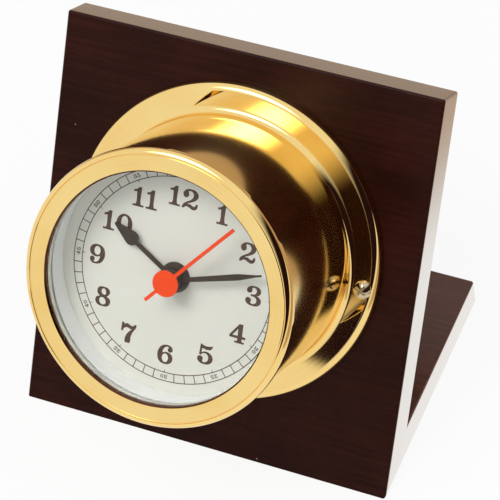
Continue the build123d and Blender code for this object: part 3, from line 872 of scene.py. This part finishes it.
def makeBezel():
    look = bezelTurning
    corner = look["radius"] - look["shoulder"]
    line = corner - look["lineWidth"]
    front, back, chamfer, small = (look[key] for key in ("front", "back", "backChamfer", "lineChamfer"))
    outline = [(look["spigot"], look["lipBack"]), (look["spigot"], back)]
    outline += [(look["radius"] - chamfer, back), (look["radius"], back + chamfer)]
    outline += arc(corner, front - look["shoulder"], look["shoulder"], 0, look["shoulderEnd"], 14)
    outline += [
        (corner, front - look["lineDepth"]),
        (line, front - look["lineDepth"]),
        (line, front - small),
        (line - small, front),
        (look["mouth"] + look["chamfer"], front),
        (look["mouth"], front - look["chamfer"]),
        (look["mouth"], look["lipBack"]),
        (look["spigot"], look["lipBack"]),
    ]
    settle(turn("bezel_turning", outline, 320), "brass", "clock", ["bezel"])


# round-head screws with a cross recess, holding the flange to the panel
def makeScrews():
    look = screwMake
    head, base, chamfer, shank = (look[key] for key in ("headRadius", "headBase", "headChamfer", "shank"))
    rise = look["headTop"] - look["rim"]
    ball = (head ** 2 + rise ** 2) / (2 * rise)
    end = math.degrees(math.asin(head / ball))
    outline = [(0, look["shankEnd"]), (shank, look["shankEnd"] + look["shankTip"]), (shank, base)]
    outline += [(head - chamfer, base), (head, base + chamfer)]
    outline += arc(0, look["headTop"] - ball, ball, 90 - end, 90, 10)
    screw = turn("screw", outline, 48, Matrix.Identity(4))
    for quarter in (0, 90):
        clearSelection()
        bpy.ops.mesh.primitive_cube_add(size=1)
        bar = bpy.context.object
        sides = [look[key] * mm for key in ("recessSpan", "recessWidth", "recessHeight")]
        lift = Matrix.Translation((0, 0, (look["recessFloor"] + look["recessHeight"] / 2) * mm))
        spun = Matrix.Rotation(math.radians(quarter), 4, "Z")
        applyPlace(bar, spun @ lift @ Matrix.Diagonal(sides + [1]))
        cut(screw, bar)
    editPiece(screw)
    closeMesh()
    screws = []
    for place, angle in zip(screwPlaces(), look["turns"]):
        screws.append(copied(screw, place @ Matrix.Rotation(math.radians(angle), 4, "Z")))
    bpy.data.objects.remove(screw)
    pair = joined("flange_screw_pair", screws)
    settle(pair, "screw", "clock", ["flange_screws"], angle=30)


# glass, white ring and dial
faceMake = {
    "glassRadius": 39.5,
    "glassBack": 47.9,
    "glassFront": 49.7,
    "ringOuter": 39.7,
    "ringFoot": 37.3,
    "ringTop": 36.4,
    "dialOuter": 39.7,
    "dialHole": 3.75,
    "dialBack": 38.4,
    "dialFront": 39.0,
    "softEdge": 0.15,
    "dialChamfer": 0.1,
}


def makeFace():
    look = faceMake
    soft, rim, back, front = (look[key] for key in ("softEdge", "glassRadius", "glassBack", "glassFront"))
    glass = [(0, back), (rim - soft, back), (rim, back + soft)]
    glass += [(rim, front - soft), (rim - soft, front), (0, front)]
    settle(turn("crystal_glass", glass, 192), "glass", "clock", ["crystal"])
    outer, foot, top, face = (look[key] for key in ("ringOuter", "ringFoot", "ringTop", "dialFront"))
    ring = [(outer, face), (outer, back), (top + soft, back), (top, back - soft)]
    ring += [(foot, face + soft), (foot + soft, face), (outer, face)]
    settle(turn("rehaut_cone", ring, 256), "rehaut", "clock", ["rehaut_ring"])
    edge, hole, under, chamfer = (look[key] for key in ("dialOuter", "dialHole", "dialBack", "dialChamfer"))
    disc = [(hole, under), (edge, under), (edge, face)]
    disc += [(hole + chamfer, face), (hole, face - chamfer), (hole, under)]
    settle(turn("dial_disc", disc, 192), "dial", "clock", ["dial"])


makeCase()
makeBezel()
makeScrews()
makeFace()
print("case, bezel, screws, glass and dial turned")


# dial figures: outlines a hundred units high, drawn one by one; a third value of 1 marks a corner
figureShapes = {
    "0": {
        "width": 86,
        "lines": [
            [(43, 101), (86, 50), (43, -1), (0, 50)],
            [(43, 92), (63, 50), (43, 8), (23, 50)],
        ],
    },
    "1": {
        "width": 60,
        "lines": [
            [
                (42, 100, 1), (42, 16), (46, 9), (60, 8, 1), (60, 0, 1), (2, 0, 1), (2, 8, 1), (16, 9),
                (20, 16), (20, 77, 1), (3, 74, 1), (3, 83, 1), (18, 88), (29, 100, 1),
            ],
        ],
    },
    "2": {
        "width": 84,
        "lines": [
            [
                (15, 56), (2, 70), (11, 91), (41, 101), (72, 92), (82, 72), (71, 51), (46, 35), (29, 23),
                (40, 24), (57, 16), (70, 17), (74, 29, 1), (83, 29, 1), (80, 9), (65, -1), (45, 4), (25, 11),
                (9, 0, 1), (0, 0, 1), (5, 16), (22, 32), (46, 48), (58, 68), (53, 86), (39, 93), (27, 88),
                (29, 80), (30, 67),
            ],
        ],
    },
    "3": {
        "width": 82,
        "lines": [
            [
                (4, 76), (13, 93), (40, 101), (69, 94), (77, 76), (69, 60), (56, 53, 1), (74, 44), (82, 27),
                (72, 7), (40, -1), (10, 7), (1, 23), (7, 35), (17, 37), (28, 30), (28, 19), (27, 12), (39, 7),
                (54, 13), (60, 27), (54, 42), (38, 48), (27, 48, 1), (27, 56, 1), (40, 57), (52, 64),
                (56, 77), (51, 90), (39, 94), (29, 89), (30, 81), (28, 70), (17, 64), (7, 67),
            ],
        ],
    },
    "4": {
        "width": 84,
        "lines": [
            [
                (66, 100, 1), (66, 36, 1), (84, 36, 1), (84, 25, 1), (66, 25, 1), (66, 14), (70, 8),
                (80, 8, 1), (80, 0, 1), (30, 0, 1), (30, 8, 1), (40, 8), (44, 14), (44, 25, 1), (0, 25, 1),
                (0, 35, 1), (47, 100, 1),
            ],
            [(44, 36, 1), (44, 78, 1), (13, 36, 1)],
        ],
    },
    "5": {
        "width": 82,
        "lines": [
            [
                (12, 102, 1), (31, 95), (53, 94), (77, 101, 1), (69, 84), (52, 78), (34, 79), (21, 83, 1),
                (18, 57, 1), (43, 65), (72, 54), (82, 32), (72, 9), (40, -1), (10, 7), (1, 23), (7, 35),
                (17, 37), (28, 30), (28, 19), (27, 12), (39, 7), (54, 14), (60, 32), (54, 50), (38, 57),
                (22, 51), (17, 44, 1), (9, 45, 1),
            ],
        ],
    },
    "6": {
        "width": 82,
        "lines": [
            [
                (78, 80), (70, 95), (48, 101), (19, 91), (3, 66), (0, 40), (11, 11), (41, -1), (72, 9),
                (82, 31), (73, 54), (47, 63), (32, 59), (24, 53, 1), (27, 74), (37, 89), (50, 94), (58, 91),
                (55, 84), (54, 74), (64, 67), (75, 71),
            ],
            [(42, 55), (60, 31), (42, 7), (24, 31)],
        ],
    },
    "7": {
        "width": 84,
        "lines": [
            [
                (5, 102, 1), (14, 102, 1), (18, 95), (34, 100), (53, 92), (68, 92), (75, 101, 1),
                (84, 101, 1), (82, 86, 1), (66, 59), (58, 34), (57, 6), (54, -1, 1), (30, -1, 1),
                (29, 17), (36, 42), (52, 64), (64, 77, 1), (54, 75), (39, 80), (24, 77), (15, 68),
                (13, 57, 1), (4, 57, 1),
            ],
        ],
    },
    "8": {
        "width": 80,
        "lines": [
            [
                (40, 101), (66, 95), (74, 77), (67, 62), (60, 54), (75, 43), (80, 26), (70, 6), (40, -1),
                (10, 6), (0, 24), (5, 41), (20, 51), (10, 61), (6, 76), (14, 95),
            ],
            [(40, 94), (54, 79), (49, 61), (27, 75)],
            [(31, 46), (58, 22), (40, 6), (20, 24)],
        ],
    },
}
dialPrint = {
    "units": 100,
    "figureRing": 25.7,
    "pairRing": 24.5,
    "tenRing": 23.3,
    "figureShift": (-0.4, 0.5),
    "figureHeight": 6.0,
    "boldness": 0.012,
    "pairGap": 0.7,
    "minuteRing": 32.32,
    "minuteHeight": 1.25,
    "minuteGap": 0.2,
    "trackInner": 30.95,
    "trackOuter": 33.65,
    "lineWidth": 0.27,
    "tickWidth": 0.27,
    "stubLength": 0.95,
    "stubWidth": 0.34,
    "stubTip": 0.05,
    "low": 38.995,
    "high": 39.025,
}


def drawFigure(figure, thickness, fineness):
    curve = bpy.data.curves.new("figure", "CURVE")
    curve.dimensions = "2D"
    curve.fill_mode = "BOTH"
    curve.extrude = thickness / 2
    curve.offset = dialPrint["boldness"]
    curve.resolution_u = fineness
    units = dialPrint["units"]
    shape = figureShapes["6" if figure == "9" else figure]
    for points in shape["lines"]:
        spline = curve.splines.new("BEZIER")
        spline.bezier_points.add(len(points) - 1)
        spline.use_cyclic_u = True
        for knot, point in zip(spline.bezier_points, points):
            across, up = point[0] - shape["width"] / 2, point[1] - units / 2
            if figure == "9":
                across, up = -across, -up
            knot.co = (across / units, up / units, 0)
            handle = "VECTOR" if len(point) > 2 else "AUTO"
            knot.handle_left_type = handle
            knot.handle_right_type = handle
    piece = bpy.data.objects.new("figure", curve)
    scene.collection.objects.link(piece)
    pick(piece)
    bpy.ops.object.convert(target="MESH")
    piece = bpy.context.object
    editPiece(piece)
    closeMesh()
    return piece, shape["width"] / units


def printFigures(name, words, height, gap, fineness, aside=(0, 0)):
    thickness = dialPrint["high"] - dialPrint["low"]
    middle = (dialPrint["high"] + dialPrint["low"]) / 2
    masters = {}
    placed = []
    for word, ring, angle, upright in words:
        for figure in word:
            if figure not in masters:
                masters[figure] = drawFigure(figure, thickness / height, fineness)
        wide = sum(masters[figure][1] * height for figure in word) + gap * (len(word) - 1)
        start = -wide / 2
        around = math.radians(angle)
        across, up = ring * math.sin(around) + aside[0], ring * math.cos(around) + aside[1]
        centre = Matrix.Translation((across * mm, up * mm, middle * mm))
        spun = Matrix.Identity(4) if upright else Matrix.Rotation(-around, 4, "Z")
        for figure in word:
            piece, width = masters[figure]
            shift = Matrix.Translation(((start + width * height / 2) * mm, 0, 0))
            start += width * height + gap
            place = clockPlace @ centre @ spun @ shift @ Matrix.Scale(height * mm, 4)
            placed.append(copied(piece, place))
    for piece, _ in masters.values():
        bpy.data.objects.remove(piece)
    settle(joined(name, placed), "ink", "clock", angle=20)


def makeTrack():
    look = dialPrint
    half, low, high = look["lineWidth"] / 2, look["low"], look["high"]
    pieces = []
    for ring in (look["trackInner"], look["trackOuter"]):
        inner, outer = ring - half, ring + half
        outline = [(inner, low), (outer, low), (outer, high), (inner, high), (inner, low)]
        pieces.append(turn("track_line", outline, 240))

    def bar(inner, outer, innerWidth, outerWidth):
        clearSelection()
        bpy.ops.mesh.primitive_plane_add(size=1)
        piece = bpy.context.object
        size = Matrix.Diagonal((outerWidth * mm, (outer - inner) * mm, 1, 1))
        middle = (outer + inner) / 2 * mm
        applyPlace(piece, Matrix.Translation((0, middle, low * mm)) @ size)
        editPiece(piece)
        chooseEdges(piece, lambda first, second: max(first.y, second.y) < middle)
        bpy.ops.transform.resize(value=(innerWidth / outerWidth, 1, 1))
        bpy.ops.mesh.select_all(action="SELECT")
        rise = (high - low) * mm
        bpy.ops.mesh.extrude_region_move(TRANSFORM_OT_translate={"value": (0, 0, rise)})
        closeMesh()
        return piece

    start = look["trackInner"]
    tick = bar(start, look["trackOuter"], look["tickWidth"], look["tickWidth"])
    stub = bar(start - look["stubLength"], start, look["stubTip"], look["stubWidth"])
    for minute in range(60):
        master = tick if minute % 5 else stub
        pieces.append(copied(master, clockPlace @ Matrix.Rotation(-math.radians(6 * minute), 4, "Z")))
    for master in (tick, stub):
        bpy.data.objects.remove(master)
    settle(joined("minute_track", pieces), "ink", "clock", angle=20)


def printDial():
    look = dialPrint
    rings = [look["figureRing"]] * 9 + [look["tenRing"]] + [look["pairRing"]] * 2
    hours = [(str(hour), ring, 30 * hour, True) for hour, ring in enumerate(rings, 1)]
    minutes = [(str(minute), look["minuteRing"], 6 * minute, False) for minute in range(5, 61, 5)]
    printFigures("hour_figures", hours, look["figureHeight"], look["pairGap"], 8, look["figureShift"])
    printFigures("minute_figures", minutes, look["minuteHeight"], look["minuteGap"], 2)
    makeTrack()


printDial()
print("dial printed")


# pieces that keep their solid's form: merged, cleaned and given soft arrises of the width that comes first
softMake = {"merge": 1e-6, "flatAngle": 0.5, "steps": 2, "angle": 38}
softWidths = {
    "hour_hand": (0.1, "handDark", "hour", "hand_dark"),
    "minute_hand": (0.1, "handDark", "minute", "hand_dark"),
    "seconds_hand": (0.08, "handOrange", "seconds", "hand_orange"),
    "setting_knob": (0.15, "blackPlastic", "knob", "black_plastic"),
    "movement_housing": (0.25, "blackPlastic", "clock", "black_plastic"),
    "movement_cover": (0.2, "blackPlastic", "clock", "black_plastic"),
    "battery": (0.25, "jacket", "clock", "battery_jacket"),
}


def soften(node):
    width, finish, body, slot = softWidths[node]
    piece = bpy.data.objects.new(node + "_soft", nodes[node].data.copy())
    scene.collection.objects.link(piece)
    editPiece(piece)
    bpy.ops.mesh.remove_doubles(threshold=softMake["merge"])
    bpy.ops.mesh.dissolve_limited(angle_limit=math.radians(softMake["flatAngle"]))
    bpy.ops.object.mode_set(mode="OBJECT")
    bevel = piece.modifiers.new("arris", "BEVEL")
    bevel.width = width * mm
    bevel.segments = softMake["steps"]
    bevel.limit_method = "ANGLE"
    bevel.angle_limit = math.radians(softMake["angle"])
    bpy.ops.object.modifier_apply(modifier="arris")
    settle(piece, finish, body, [node], angle=softMake["angle"])


for node in softWidths:
    soften(node)
print("hands, knob, movement shells and battery softened")


# copper winding on the bobbin: its outer layer of turns
windingMake = {"inner": 2.02, "outer": 2.98, "turns": 46, "bite": 0.1}


def makeWinding():
    low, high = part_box("coil_winding")
    length = (high.x - low.x) / mm
    pitch = length / windingMake["turns"]
    inner, outer = windingMake["inner"], windingMake["outer"]
    valley = outer - windingMake["bite"]
    outline = [(inner, 0), (valley, 0)]
    for step in range(windingMake["turns"]):
        outline += [(outer, (step + 0.5) * pitch), (valley, (step + 1) * pitch)]
    outline += [(inner, length), (inner, 0)]
    middle = (low + high) / 2
    place = Matrix.Translation((low.x, middle.y, middle.z)) @ Matrix.Rotation(math.pi / 2, 4, "Y")
    winding = turn("coil_turns", outline, 32, place)
    settle(winding, "copper", "clock", ["coil_winding"], angle=60)


makeWinding()
print("winding made")


# pieces that stay as their solids, by finish
keptNodes = {
    "dowel": ["mitre_dowels"],
    "rubber": ["crystal_gasket"],
    "plainBrass": ["dial_feet", "centre_bush"],
    "gear": [
        "hour_wheel",
        "minute_arbor",
        "centre_wheel",
        "minute_wheel",
        "third_wheel",
        "seconds_wheel",
        "intermediate_wheel",
    ],
    "steel": ["friction_washer", "positive_contact", "negative_contact", "quartz_crystal"],
    "magnet": ["rotor"],
    "iron": ["stator"],
    "blackPlastic": ["coil_bobbin", "control_chip"],
    "laminate": ["circuit_board"],
}
for finish, names in keptNodes.items():
    for name in names:
        nodes[name].data.materials.clear()
        nodes[name].data.materials.append(finishes[finish])
print("inner pieces finished")
